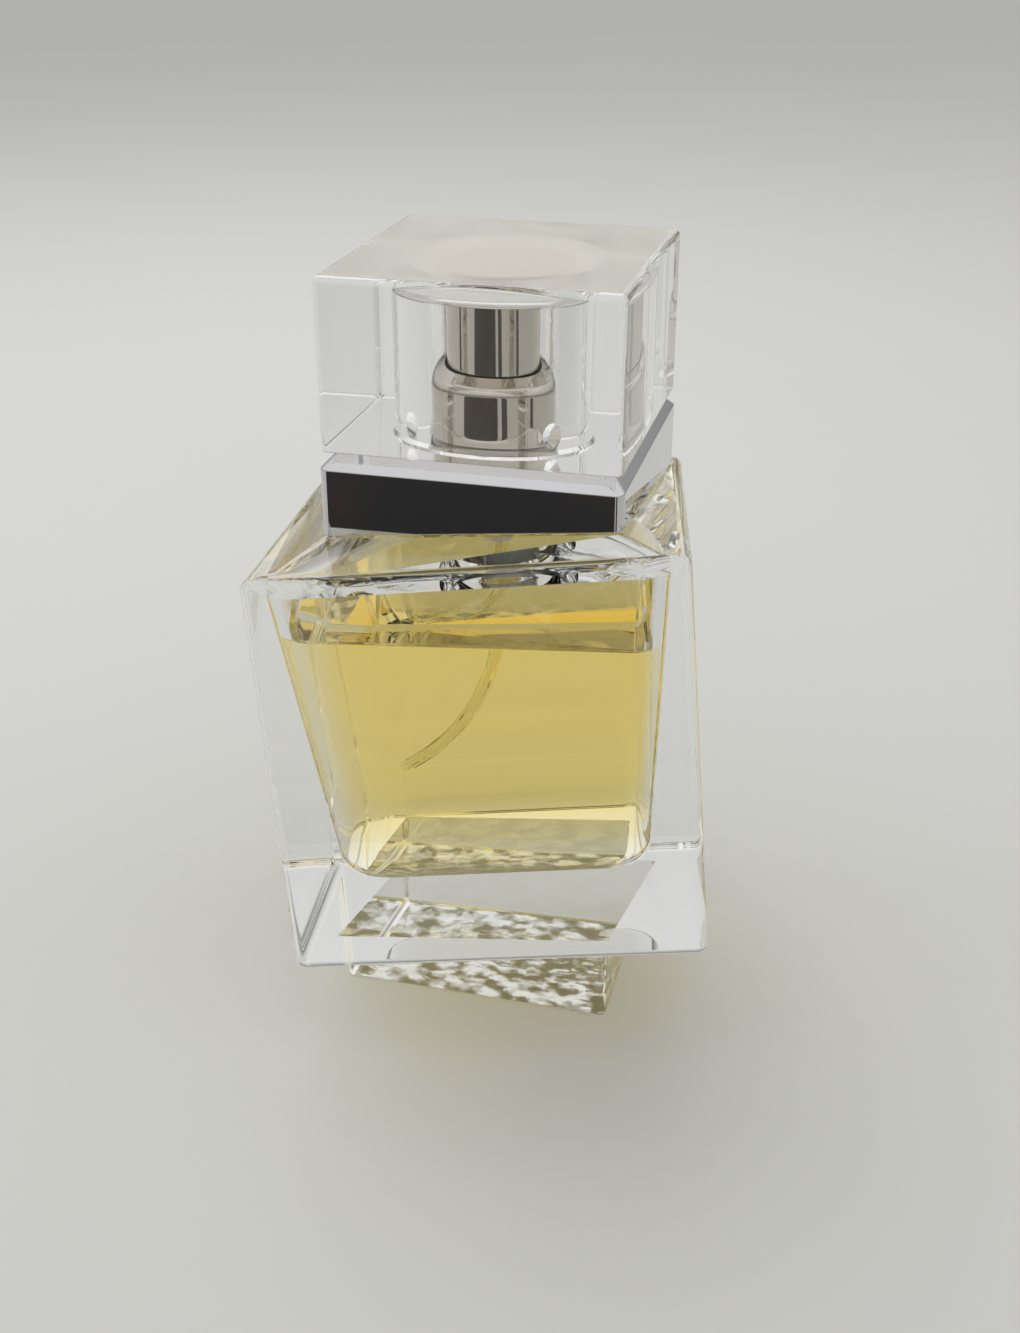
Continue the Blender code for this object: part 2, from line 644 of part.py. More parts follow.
def pump_stem():
    """Hollow stem, the piston round its lower end, and the valve pin that closes it."""
    floor = STEM_BASE + GAP
    profile = [(0, floor), (STEM_BORE_RADIUS, floor), (STEM_BORE_RADIUS, STEM_TOP)]
    profile += [(STEM_RADIUS, STEM_TOP), (STEM_RADIUS, STEM_BASE), (0, STEM_BASE)]
    turned("stem", profile, white_plastic)
    ring(
        "piston",
        STEM_RADIUS + GAP,
        HOUSING_BORE_RADIUS - GAP,
        PISTON_BASE,
        PISTON_TOP,
        white_plastic,
    )
    head_top = PIN_HEAD_BASE + PIN_HEAD_HEIGHT
    head = HOUSING_BORE_RADIUS - 2 * GAP
    profile = [
        (0, STEM_BASE - GAP),
        (PIN_RADIUS, STEM_BASE - GAP),
        (PIN_RADIUS, head_top),
        (head, head_top),
        (head, PIN_HEAD_BASE),
        (PIN_RADIUS, PIN_HEAD_BASE),
        (PIN_RADIUS - GAP, PIN_HEAD_BASE - PIN_TAIL),
        (0, PIN_HEAD_BASE - PIN_TAIL),
    ]
    turned("valve_pin", profile, white_plastic)


def return_spring():
    """Coil between the housing's floor and the valve pin's head."""
    low = BORE_FLOOR + GAP + SPRING_WIRE / 2
    high = PIN_HEAD_BASE - GAP - SPRING_WIRE / 2
    steps = 14 * SPRING_TURNS
    points = []
    for i in range(steps + 1):
        angle = 2 * math.pi * SPRING_TURNS * i / steps
        height = low + (high - low) * i / steps
        points.append((SPRING_RADIUS * math.cos(angle), SPRING_RADIUS * math.sin(angle), height))
    made = swept("return_spring", points, SPRING_WIRE / 2, True, steel)
    made.data.shade_smooth()


def check_ball():
    """Ball that stands clear of its conical seat by the common gap."""
    run, rise = CAGE_RADIUS - INLET_RADIUS, SEAT_TOP - INLET_TOP
    slant = math.hypot(run, rise)
    height = INLET_TOP + ((BALL_RADIUS + GAP) * slant - INLET_RADIUS * rise) / run
    shape = bmesh.new()
    bmesh.ops.create_uvsphere(shape, u_segments=24, v_segments=16, radius=BALL_RADIUS)
    made = new_object("check_ball", mesh_from(shape, "check_ball"), steel)
    made.data.shade_smooth()
    made.location = (0, 0, height)


def actuator():
    """Push button: a plastic core in a metal skin, with a nozzle that sprays towards +Y."""
    top = ACTUATOR_TOP
    inner = ACTUATOR_RADIUS - ACTUATOR_WALL
    skin = [(0, top)]
    skin += arc(ACTUATOR_RADIUS - ACTUATOR_FILLET, top - ACTUATOR_FILLET, ACTUATOR_FILLET, 90, 0)
    skin += [(ACTUATOR_RADIUS, ACTUATOR_BASE), (inner, ACTUATOR_BASE)]
    skin += [(inner, top - ACTUATOR_WALL), (0, top - ACTUATOR_WALL)]
    shell = turned("actuator_shell", skin, chrome)

    radius = inner - GAP
    base = ACTUATOR_BASE + GAP
    roof = top - ACTUATOR_WALL - GAP
    socket_roof = STEM_TOP + GAP
    socket = STEM_RADIUS + GAP
    nozzle_z = ACTUATOR_BASE + NOZZLE_HEIGHT
    profile = [(0, roof), (radius, roof), (radius, base), (socket, base)]
    profile += [(socket, socket_roof), (CHANNEL_RADIUS, socket_roof)]
    profile += [(CHANNEL_RADIUS, nozzle_z), (0, nozzle_z)]
    core = turned("actuator_core", profile, white_plastic)

    reach = 2 * ACTUATOR_RADIUS
    pocket_floor = radius - NOZZLE_LENGTH - GAP
    cuts = (
        (core, "nozzle_pocket", NOZZLE_RADIUS + GAP, pocket_floor),
        (core, "spray_channel", SPRAY_CHANNEL_RADIUS, 0),
        (shell, "nozzle_window", NOZZLE_RADIUS + GAP, ACTUATOR_RADIUS / 2),
    )
    for piece, name, cut_radius, start in cuts:
        cutter = rod(name, cut_radius, start, reach)
        cutter.rotation_euler = (math.radians(-90), 0, 0)
        cutter.location = (0, 0, nozzle_z)
        combine(piece, cutter, "DIFFERENCE")

    face = pocket_floor + GAP + NOZZLE_LENGTH
    dimple = [(0, face - ORIFICE_DEPTH), (ORIFICE_RADIUS, face - ORIFICE_DEPTH)]
    dimple += [(ORIFICE_RADIUS, face - ORIFICE_FLARE), (2 * ORIFICE_RADIUS, face)]
    dimple += [(NOZZLE_RADIUS, face), (NOZZLE_RADIUS, face - NOZZLE_LENGTH)]
    dimple += [(0, face - NOZZLE_LENGTH)]
    insert = turned("spray_insert", dimple, dark_plastic)
    insert.rotation_euler = (math.radians(-90), 0, 0)
    insert.location = (0, 0, nozzle_z)


clear_scene()
parts = new_collection("perfume_bottle")
helpers = new_collection("cutters")
glass = new_material("glass", (0.95, 0.97, 0.96), 0.02, transmission=1.0, ior=1.52)
liquid = new_material("perfume", (0.87, 0.79, 0.45), 0.0, transmission=1.0, ior=1.36)
clear_plastic = new_material("clear_plastic", (0.95, 0.95, 0.94), 0.03, transmission=1.0, ior=1.49)
chrome = new_material("chrome", (0.75, 0.76, 0.78), 0.05, metallic=1.0)
aluminium = new_material("aluminium", (0.8, 0.8, 0.81), 0.3, metallic=1.0)
steel = new_material("steel", (0.6, 0.6, 0.62), 0.25, metallic=1.0)
white_plastic = new_material("white_plastic", (0.85, 0.85, 0.83), 0.35)
dark_plastic = new_material("dark_plastic", (0.12, 0.12, 0.13), 0.4)
rubber = new_material("rubber", (0.2, 0.2, 0.2), 0.7)

glass_bottle()
perfume()
dip_tube()
collar_shell()
collar_core()
cap_block()
crimp_ferrule()
ferrule_cover()
pump_housing()
pump_seals()
pump_stem()
return_spring()
check_ball()
actuator()
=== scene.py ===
"""Looks of a leaning glass perfume bottle with a clear cap, a chrome collar and a crimped spray pump."""

import math

import bmesh
import bpy
from bpy.props import FloatProperty, FloatVectorProperty, PointerProperty
from bpy.types import Operator, Panel, PropertyGroup
from mathutils import Matrix, Vector


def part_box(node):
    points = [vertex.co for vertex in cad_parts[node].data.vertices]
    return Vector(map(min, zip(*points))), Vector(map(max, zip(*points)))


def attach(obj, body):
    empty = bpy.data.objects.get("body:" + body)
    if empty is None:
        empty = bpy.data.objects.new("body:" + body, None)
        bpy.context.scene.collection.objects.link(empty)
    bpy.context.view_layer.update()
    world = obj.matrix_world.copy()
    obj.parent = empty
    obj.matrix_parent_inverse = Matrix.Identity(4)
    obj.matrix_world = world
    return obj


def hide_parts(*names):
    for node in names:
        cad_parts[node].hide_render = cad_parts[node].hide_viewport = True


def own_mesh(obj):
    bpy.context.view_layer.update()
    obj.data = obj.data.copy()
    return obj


bl_info = {
    "name": "Perfume Bottle",
    "version": (1, 0, 0),
    "blender": (4, 5, 0),
    "location": "View3D > Sidebar > Perfume Bottle",
    "description": "Builds the glass, liquid, cap, collar and pump of a leaning perfume bottle",
    "category": "Object",
}

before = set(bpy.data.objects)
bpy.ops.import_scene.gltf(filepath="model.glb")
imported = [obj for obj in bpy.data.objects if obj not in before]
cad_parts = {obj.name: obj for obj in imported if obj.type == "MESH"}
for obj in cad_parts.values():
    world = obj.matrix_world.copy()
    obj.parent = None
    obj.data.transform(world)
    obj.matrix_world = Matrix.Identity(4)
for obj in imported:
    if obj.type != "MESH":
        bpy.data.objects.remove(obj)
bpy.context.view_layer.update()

MM = 0.001
SIDES = 144  # sides of a turned piece
CORNER_STEPS = 8
CUT = 2 * MM  # length that a cutter runs past what it cuts
GAP = 0.3 * MM

COLLAR_LOW, COLLAR_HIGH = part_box("collar_shell")
CAP_LOW, CAP_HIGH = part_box("cap_block")
GLASS_LOW, GLASS_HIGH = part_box("glass_bottle")
COVER_LOW, COVER_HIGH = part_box("ferrule_cover")
BUTTON_LOW, BUTTON_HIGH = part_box("actuator_shell")
HOUSING_LOW, HOUSING_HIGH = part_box("pump_housing")


def length(name, default, description):
    """A length property, given in millimetres and kept in metres."""
    return FloatProperty(name=name, description=description, default=default * MM, min=0, unit="LENGTH")


def colour(name, default, description):
    return FloatVectorProperty(
        name=name, description=description, default=default, min=0, max=1, size=3, subtype="COLOR"
    )


class PerfumeBottleSizes(PropertyGroup):
    block_width: length("Block width", 52.7, "Width of the leaning glass block at its top")
    block_height: length("Block height", 51.55, "Height of the block along its own axis")
    block_bevel: length("Block bevel", 1.36, "Radius of the block's polished edges")
    block_yaw: FloatProperty(
        name="Block turn", description="Turn of the block against the foot and the cap",
        default=math.radians(10.1), subtype="ANGLE",
    )
    lean_x: FloatProperty(name="Lean X", description="Rise of the block's planes along X", default=0.112)
    lean_y: FloatProperty(name="Lean Y", description="Rise of the block's planes along Y", default=-0.099)
    foot_width: length("Foot width", 36.0, "Width of the level foot")
    foot_height: length("Foot height", 10.5, "Height of the foot at the pump's axis")
    foot_bevel: length("Foot bevel", 0.7, "Radius of the foot's edges")
    shoulder_rise: length("Shoulder rise", 2.5, "Height of the shoulder over the block")
    bead_radius: length("Bead radius", 9.9, "Radius of the neck's bead")
    neck_bore: length("Neck bore", 6.5, "Radius of the neck's bore")
    chamber_top: length("Chamber top", 48.0, "Width of the chamber at its ceiling")
    chamber_floor: length("Chamber floor", 38.4, "Width of the chamber at its floor")
    chamber_ceiling: length("Ceiling", 2.8, "Glass over the chamber")
    chamber_base: length("Base", 9.8, "Glass under the chamber")
    chamber_corner: length("Chamber corner", 4.0, "Radius of the chamber's upright corners")
    floor_edge: length("Floor facet", 4.5, "Rise of the sloping facet round the chamber's floor")
    vault: length("Vault", 2.2, "Rise of the chamber's ceiling towards the neck")
    meniscus: length("Meniscus", 0.8, "Rise of the liquid's edge along the glass")
    collar_wall: length("Collar wall", 1.0, "Wall of the collar's metal skin")
    collar_corner: length("Collar corner", 1.3, "Radius of the collar's upright edges")
    collar_chamfer: length("Collar chamfer", 1.75, "Width of the chamfer round the collar's top")
    cap_edge: length("Cap edge", 0.9, "Radius of the cap's upright and top edges")
    cap_bore: length("Cap bore", 12.07, "Radius of the cap's hollow")
    cap_headroom: length("Cap headroom", 0.9, "Room over the actuator under the cap's hollow roof")
    nub_radius: length("Grip nub", 2.2, "Radius of the grip nubs in the cap")


class PerfumeBottleFinishes(PropertyGroup):
    glass: colour("Glass", (0.985, 0.995, 0.99), "Colour of the clear glass")
    base: colour("Glass base", (0.90, 0.89, 0.80), "Colour of the stippled glass under the foot")
    liquid: colour("Liquid", (0.996, 0.835, 0.02), "Colour that the liquid lets through")
    cap_top: colour("Cap top", (0.90, 0.86, 0.79), "Colour of the cap's satin top")
    acrylic: colour("Cap", (0.99, 0.99, 0.985), "Colour of the clear cap")
    chrome: colour("Chrome", (0.66, 0.66, 0.68), "Colour of the polished plating")
    pump_metal: colour("Pump metal", (0.62, 0.585, 0.52), "Colour of the pump's polished metal")
    aluminium: colour("Aluminium", (0.8, 0.8, 0.81), "Colour of the crimped ferrule")
    steel: colour("Steel", (0.6, 0.6, 0.62), "Colour of the spring and the ball")
    white: colour("White plastic", (0.85, 0.85, 0.83), "Colour of the pump's mouldings")
    dark: colour("Dark plastic", (0.05, 0.05, 0.055), "Colour of the nozzle")
    core: colour("Collar core", (0.30, 0.235, 0.09), "Colour of the amber plastic inside the collar")
    rubber: colour("Rubber", (0.2, 0.2, 0.2), "Colour of the seals")
    tube: colour("Tube", (0.93, 0.93, 0.86), "Colour of the dip tube")
    floor: colour("Floor", (0.53, 0.53, 0.51), "Colour of the floor")
    card: colour("Card", (0.004, 0.003, 0.0025), "Colour of the dark card in front")


def sizes():
    return bpy.context.scene.perfume_bottle_sizes


def finishes():
    return bpy.context.scene.perfume_bottle_finishes


# Directions and points of the leaning block

class Block:
    """Directions, centre and heights of the leaning block, from the sizes."""

    def __init__(self):
        s = sizes()
        self.s = s
        self.up = Vector((-s.lean_x, -s.lean_y, 1)).normalized()
        level = Vector((math.cos(s.block_yaw), math.sin(s.block_yaw), 0))
        self.right = (level - self.up * level.dot(self.up)).normalized()
        self.back = self.up.cross(self.right)
        half = s.block_height / 2 / self.up.z
        offset = Vector((-1.1 * MM, -0.3 * MM))
        self.centre = Vector((*offset, s.foot_height + half + self.lean(*offset)))
        self.shoulder_top = s.foot_height + 2 * half + s.shoulder_rise
        self.floor = s.chamber_base - s.block_height / 2
        self.roof = s.block_height / 2 - s.chamber_ceiling

    def lean(self, x, y):
        return self.s.lean_x * x + self.s.lean_y * y

    def point(self, right, back, up):
        return self.centre + self.right * right + self.back * back + self.up * up

    def chamber_width(self, up):
        share = (up - self.floor) / (self.roof - self.floor)
        return self.s.chamber_floor + (self.s.chamber_top - self.s.chamber_floor) * share

    def chamber(self, grow=0.0):
        """Points whose hull is the chamber, or a space that is larger by grow on every side."""
        facet = self.floor + self.s.floor_edge
        levels = [(self.roof + grow, self.chamber_width(self.roof))]
        for i in range(CORNER_STEPS + 1):
            turn = math.radians(90 * i / CORNER_STEPS)
            inset = 0.8 * self.s.floor_edge * (1 - math.cos(turn))
            up = facet - (self.s.floor_edge + grow) * math.sin(turn)
            levels.append((up, self.chamber_width(facet) - 2 * inset))
        points = []
        for up, width in levels:
            outline = rounded_square(width + 2 * grow, self.s.chamber_corner, CORNER_STEPS)
            points += [self.point(x, y, up) for x, y in outline]
        return points

    def holds(self, point):
        """Whether a point is on the chamber's wall or inside it, and not on the outside of the glass."""
        away = Vector(point) - self.centre
        reach = self.s.chamber_top / 2 + MM
        aside = max(abs(away.dot(self.right)), abs(away.dot(self.back)))
        return aside < reach and away.dot(self.up) > self.floor - 0.5 * MM

    def vault(self):
        height = self.shoulder_top - self.s.shoulder_rise - self.s.chamber_ceiling + self.s.vault
        points = []
        for i in range(48):
            x = 9 * MM * math.cos(math.tau * i / 48)
            y = 9 * MM * math.sin(math.tau * i / 48)
            points.append(Vector((x, y, height + self.lean(x, y))))
        return points


def rounded_square(width, corner, steps):
    middle = width / 2 - corner
    outline = []
    for quarter in range(4):
        turn = Matrix.Rotation(math.radians(90 * quarter), 2)
        for i in range(steps + 1):
            angle = math.radians(90 * i / steps)
            point = Vector((middle, middle)) + corner * Vector((math.cos(angle), math.sin(angle)))
            outline.append(turn @ point)
    return outline


# Meshes

def to_mesh(shape, name):
    bmesh.ops.recalc_face_normals(shape, faces=shape.faces)
    mesh = bpy.data.meshes.new(name)
    shape.to_mesh(mesh)
    shape.free()
    return mesh


def new_object(name, mesh):
    made = bpy.data.objects.new(name, mesh)
    bpy.context.scene.collection.objects.link(made)
    return made


def hull(name, points):
    shape = bmesh.new()
    for point in points:
        shape.verts.new(point)
    found = bmesh.ops.convex_hull(shape, input=shape.verts)
    loose = [v for v in found["geom_interior"] if isinstance(v, bmesh.types.BMVert)]
    bmesh.ops.delete(shape, geom=loose, context="VERTS")
    bmesh.ops.dissolve_limit(shape, angle_limit=0.002, verts=shape.verts[:], edges=shape.edges[:])
    return new_object(name, to_mesh(shape, name))


def turned(name, profile, ring=False):
    """A profile of (radius, height) turned about the pump's axis."""
    shape = bmesh.new()
    rows = []
    for radius, height in profile:
        if radius < 1e-7:
            rows.append([shape.verts.new((0, 0, height))] * SIDES)
        else:
            rows.append([
                shape.verts.new((
                    radius * math.cos(math.tau * i / SIDES), radius * math.sin(math.tau * i / SIDES), height,
                ))
                for i in range(SIDES)
            ])
    pairs = list(zip(rows, rows[1:]))
    if ring:
        pairs.append((rows[-1], rows[0]))
    for upper, lower in pairs:
        for i in range(SIDES):
            j = (i + 1) % SIDES
            corners = []
            for vert in (upper[i], upper[j], lower[j], lower[i]):
                if vert not in corners:
                    corners.append(vert)
            if len(corners) > 2:
                shape.faces.new(corners)
    return new_object(name, to_mesh(shape, name))


def rod(name, radius, base, top):
    return turned(name, [(0, top), (radius, top), (radius, base), (0, base)])


def arc(centre_r, centre_z, radius, start, end, steps=10):
    turns = [math.radians(start + (end - start) * i / steps) for i in range(steps + 1)]
    return [(centre_r + radius * math.cos(t), centre_z + radius * math.sin(t)) for t in turns]


def apply_modifiers(piece):
    graph = bpy.context.evaluated_depsgraph_get()
    mesh = bpy.data.meshes.new_from_object(piece.evaluated_get(graph), depsgraph=graph)
    piece.modifiers.clear()
    piece.data = mesh


def combine(piece, helper, operation):
    step = piece.modifiers.new(helper.name, "BOOLEAN")
    step.operation = operation
    step.solver = "EXACT"
    step.object = helper
    apply_modifiers(piece)
    bpy.data.objects.remove(helper, do_unlink=True)


def bevelled(piece, width, segments=4, angle=25):
    step = piece.modifiers.new("polished edges", "BEVEL")
    step.width = width
    step.segments = segments
    step.limit_method = "ANGLE"
    step.angle_limit = math.radians(angle)
    apply_modifiers(piece)


def smooth(piece, angle=32):
    piece.data.shade_smooth()
    piece.data.set_sharp_from_angle(angle=math.radians(angle))
    step = piece.modifiers.new("face normals", "WEIGHTED_NORMAL")
    step.keep_sharp = True
    step.weight = 80


def place(piece, material, node, body):
    piece.data.materials.clear()
    piece.data.materials.append(material)
    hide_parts(node)
    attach(piece, body)


def cut_level(glass, block, height):
    """Splits the chamber's walls along the liquid's edge."""
    shape = bmesh.new()
    shape.from_mesh(glass.data)
    walls = [f for f in shape.faces if all(block.holds(v.co) for v in f.verts)]
    edges = {e for f in walls for e in f.edges}
    verts = {v for f in walls for v in f.verts}
    bmesh.ops.bisect_plane(
        shape, geom=walls + list(edges) + list(verts), plane_co=(0, 0, height), plane_no=(0, 0, 1)
    )
    shape.to_mesh(glass.data)
    shape.free()


def paint(piece, material, chosen):
    """Gives a second material to the faces that chosen accepts."""
    piece.data.materials.append(material)
    for face in piece.data.polygons:
        if chosen(face):
            face.material_index = len(piece.data.materials) - 1


# Materials

def base_material(name, colour, roughness, metallic=0.0):
    """A Principled material, with its shader and its node tree."""
    made = bpy.data.materials.new(name)
    made.use_nodes = True
    made.diffuse_color = (*colour, 1)
    shader = made.node_tree.nodes["Principled BSDF"]
    shader.inputs["Base Color"].default_value = (*colour, 1)
    shader.inputs["Roughness"].default_value = roughness
    shader.inputs["Metallic"].default_value = metallic
    return made, shader, made.node_tree


def noise(tree, scale, detail=3.0, stretch=(1, 1, 1)):
    place_node = tree.nodes.new("ShaderNodeTexCoord")
    mapping = tree.nodes.new("ShaderNodeMapping")
    mapping.inputs["Scale"].default_value = stretch
    texture = tree.nodes.new("ShaderNodeTexNoise")
    texture.inputs["Scale"].default_value = scale
    texture.inputs["Detail"].default_value = detail
    tree.links.new(place_node.outputs["Object"], mapping.inputs["Vector"])
    tree.links.new(mapping.outputs["Vector"], texture.inputs["Vector"])
    return texture.outputs["Fac"]


def add_bump(tree, shader, height, strength, distance):
    bump = tree.nodes.new("ShaderNodeBump")
    bump.inputs["Strength"].default_value = strength
    bump.inputs["Distance"].default_value = distance
    tree.links.new(height, bump.inputs["Height"])
    tree.links.new(bump.outputs["Normal"], shader.inputs["Normal"])


def add_range(tree, value, low, high, socket):
    """Spreads a 0 to 1 value over low to high and links it to a socket."""
    spread = tree.nodes.new("ShaderNodeMapRange")
    spread.inputs["From Min"].default_value = 0.3
    spread.inputs["From Max"].default_value = 0.7
    spread.inputs["To Min"].default_value = low
    spread.inputs["To Max"].default_value = high
    tree.links.new(value, spread.inputs["Value"])
    tree.links.new(spread.outputs["Result"], socket)


def add_tint(tree, shader, value, colour, shade):
    """Varies the base colour between a colour and a darker shade of it."""
    ramp = tree.nodes.new("ShaderNodeValToRGB")
    ramp.color_ramp.elements[0].position = 0.3
    ramp.color_ramp.elements[1].position = 0.7
    ramp.color_ramp.elements[0].color = (*[c * shade for c in colour], 1)
    ramp.color_ramp.elements[1].color = (*colour, 1)
    tree.links.new(value, ramp.inputs["Fac"])
    tree.links.new(ramp.outputs["Color"], shader.inputs["Base Color"])


def clear_material(name, colour, ior, grain, strength, shadow, roughness=0.0):
    """A clear, polished material that lets most of a lamp's light through to the floor."""
    made, shader, tree = base_material(name, colour, roughness)
    shader.inputs["Transmission Weight"].default_value = 1.0
    shader.inputs["IOR"].default_value = ior
    value = noise(tree, grain, 1.0)
    add_tint(tree, shader, value, colour, 0.995)
    add_bump(tree, shader, value, strength, 0.0002)
    light = tree.nodes.new("ShaderNodeLightPath")
    pale = tree.nodes.new("ShaderNodeBsdfTransparent")
    pale.inputs["Color"].default_value = (*[c * shadow for c in colour], 1)
    mix = tree.nodes.new("ShaderNodeMixShader")
    output = tree.nodes["Material Output"]
    tree.links.new(light.outputs["Is Shadow Ray"], mix.inputs["Fac"])
    tree.links.new(shader.outputs["BSDF"], mix.inputs[1])
    tree.links.new(pale.outputs["BSDF"], mix.inputs[2])
    tree.links.new(mix.outputs["Shader"], output.inputs["Surface"])
    return made


def let_floor_through(material):
    """Lets the floor show in specks through a surface that rests on it."""
    tree = material.node_tree
    clear = tree.nodes.new("ShaderNodeBsdfTransparent")
    clear.inputs["Color"].default_value = (0.72, 0.70, 0.58, 1)
    specks, mix = tree.nodes.new("ShaderNodeMapRange"), tree.nodes.new("ShaderNodeMixShader")
    specks.inputs["From Min"].default_value = 0.42
    specks.inputs["From Max"].default_value = 0.58
    specks.inputs["To Min"].default_value = 0.25
    tree.links.new(noise(tree, 330, 3.0), specks.inputs["Value"])
    tree.links.new(specks.outputs["Result"], mix.inputs["Fac"])
    output = tree.nodes["Material Output"].inputs["Surface"]
    tree.links.new(output.links[0].from_socket, mix.inputs[1])
    tree.links.new(clear.outputs["BSDF"], mix.inputs[2])
    tree.links.new(mix.outputs["Shader"], output)


def wet_wall_material():
    """The glass's wall under the liquid, where the liquid's own sides bend the light."""
    made, shader, tree = base_material("Wet glass wall", (1, 1, 1), 0.0)
    clear = tree.nodes.new("ShaderNodeBsdfTransparent")
    ramp = tree.nodes.new("ShaderNodeValToRGB")
    ramp.color_ramp.elements[0].color = (0.998, 0.998, 0.998, 1)
    tree.links.new(noise(tree, 60, 1.0), ramp.inputs["Fac"])
    tree.links.new(ramp.outputs["Color"], clear.inputs["Color"])
    tree.links.new(clear.outputs["BSDF"], tree.nodes["Material Output"].inputs["Surface"])
    return made


def math_node(tree, operation, first, second):
    """The output of a Math node, whose inputs are numbers or other nodes' outputs."""
    node = tree.nodes.new("ShaderNodeMath")
    node.operation = operation
    for socket, value in zip(node.inputs, (first, second)):
        if isinstance(value, (int, float)):
            socket.default_value = value
        else:
            tree.links.new(value, socket)
    return node.outputs[0]


def liquid_material(level):
    """Perfume whose sides lie against glass, and whose surface above the level lies against air."""
    made = clear_material("Pale yellow perfume", (1.0, 1.0, 1.0), 1.36 / 1.5, 60, 0.01, 1.0)
    tree = made.node_tree
    sides, mix = tree.nodes["Principled BSDF"], tree.nodes["Mix Shader"]
    surface = tree.nodes.new("ShaderNodeBsdfPrincipled")
    surface.inputs["Roughness"].default_value = 0.0
    surface.inputs["Transmission Weight"].default_value = 1.0
    surface.inputs["IOR"].default_value = 1.36
    geometry = tree.nodes.new("ShaderNodeNewGeometry")
    place_node, facing = tree.nodes.new("ShaderNodeSeparateXYZ"), tree.nodes.new("ShaderNodeSeparateXYZ")
    tree.links.new(geometry.outputs["Position"], place_node.inputs["Vector"])
    tree.links.new(geometry.outputs["True Normal"], facing.inputs["Vector"])
    level_face = math_node(tree, "GREATER_THAN", math_node(tree, "ABSOLUTE", facing.outputs["Z"], 0), 0.3)
    high = math_node(tree, "GREATER_THAN", place_node.outputs["Z"], level - 0.05 * MM)
    open_face = tree.nodes.new("ShaderNodeMixShader")
    tree.links.new(math_node(tree, "MULTIPLY", level_face, high), open_face.inputs["Fac"])
    tree.links.new(sides.outputs["BSDF"], open_face.inputs[1])
    tree.links.new(surface.outputs["BSDF"], open_face.inputs[2])
    tree.links.new(open_face.outputs["Shader"], mix.inputs[1])
    absorb = tree.nodes.new("ShaderNodeVolumeAbsorption")
    absorb.inputs["Color"].default_value = (*finishes().liquid, 1)
    absorb.inputs["Density"].default_value = 30.0
    tree.links.new(absorb.outputs["Volume"], tree.nodes["Material Output"].inputs["Volume"])
    return made


def metal_material(name, colour, roughness, grain, stretch=(1, 1, 1)):
    made, shader, tree = base_material(name, colour, roughness, 1.0)
    value = noise(tree, grain, 2.0, stretch)
    add_tint(tree, shader, value, colour, 0.96)
    add_range(tree, value, roughness * 0.7, roughness * 1.4, shader.inputs["Roughness"])
    add_bump(tree, shader, value, 0.004, 0.00005)
    return made


def moulded_material(name, colour, roughness, grain=900):
    made, shader, tree = base_material(name, colour, roughness)
    value = noise(tree, grain, 4.0)
    add_tint(tree, shader, value, colour, 0.93)
    add_range(tree, value, roughness * 0.85, roughness * 1.15, shader.inputs["Roughness"])
    add_bump(tree, shader, value, 0.08, 0.00005)
    return made


# Operators

class BottleOperator:
    bl_options = {"REGISTER", "UNDO"}


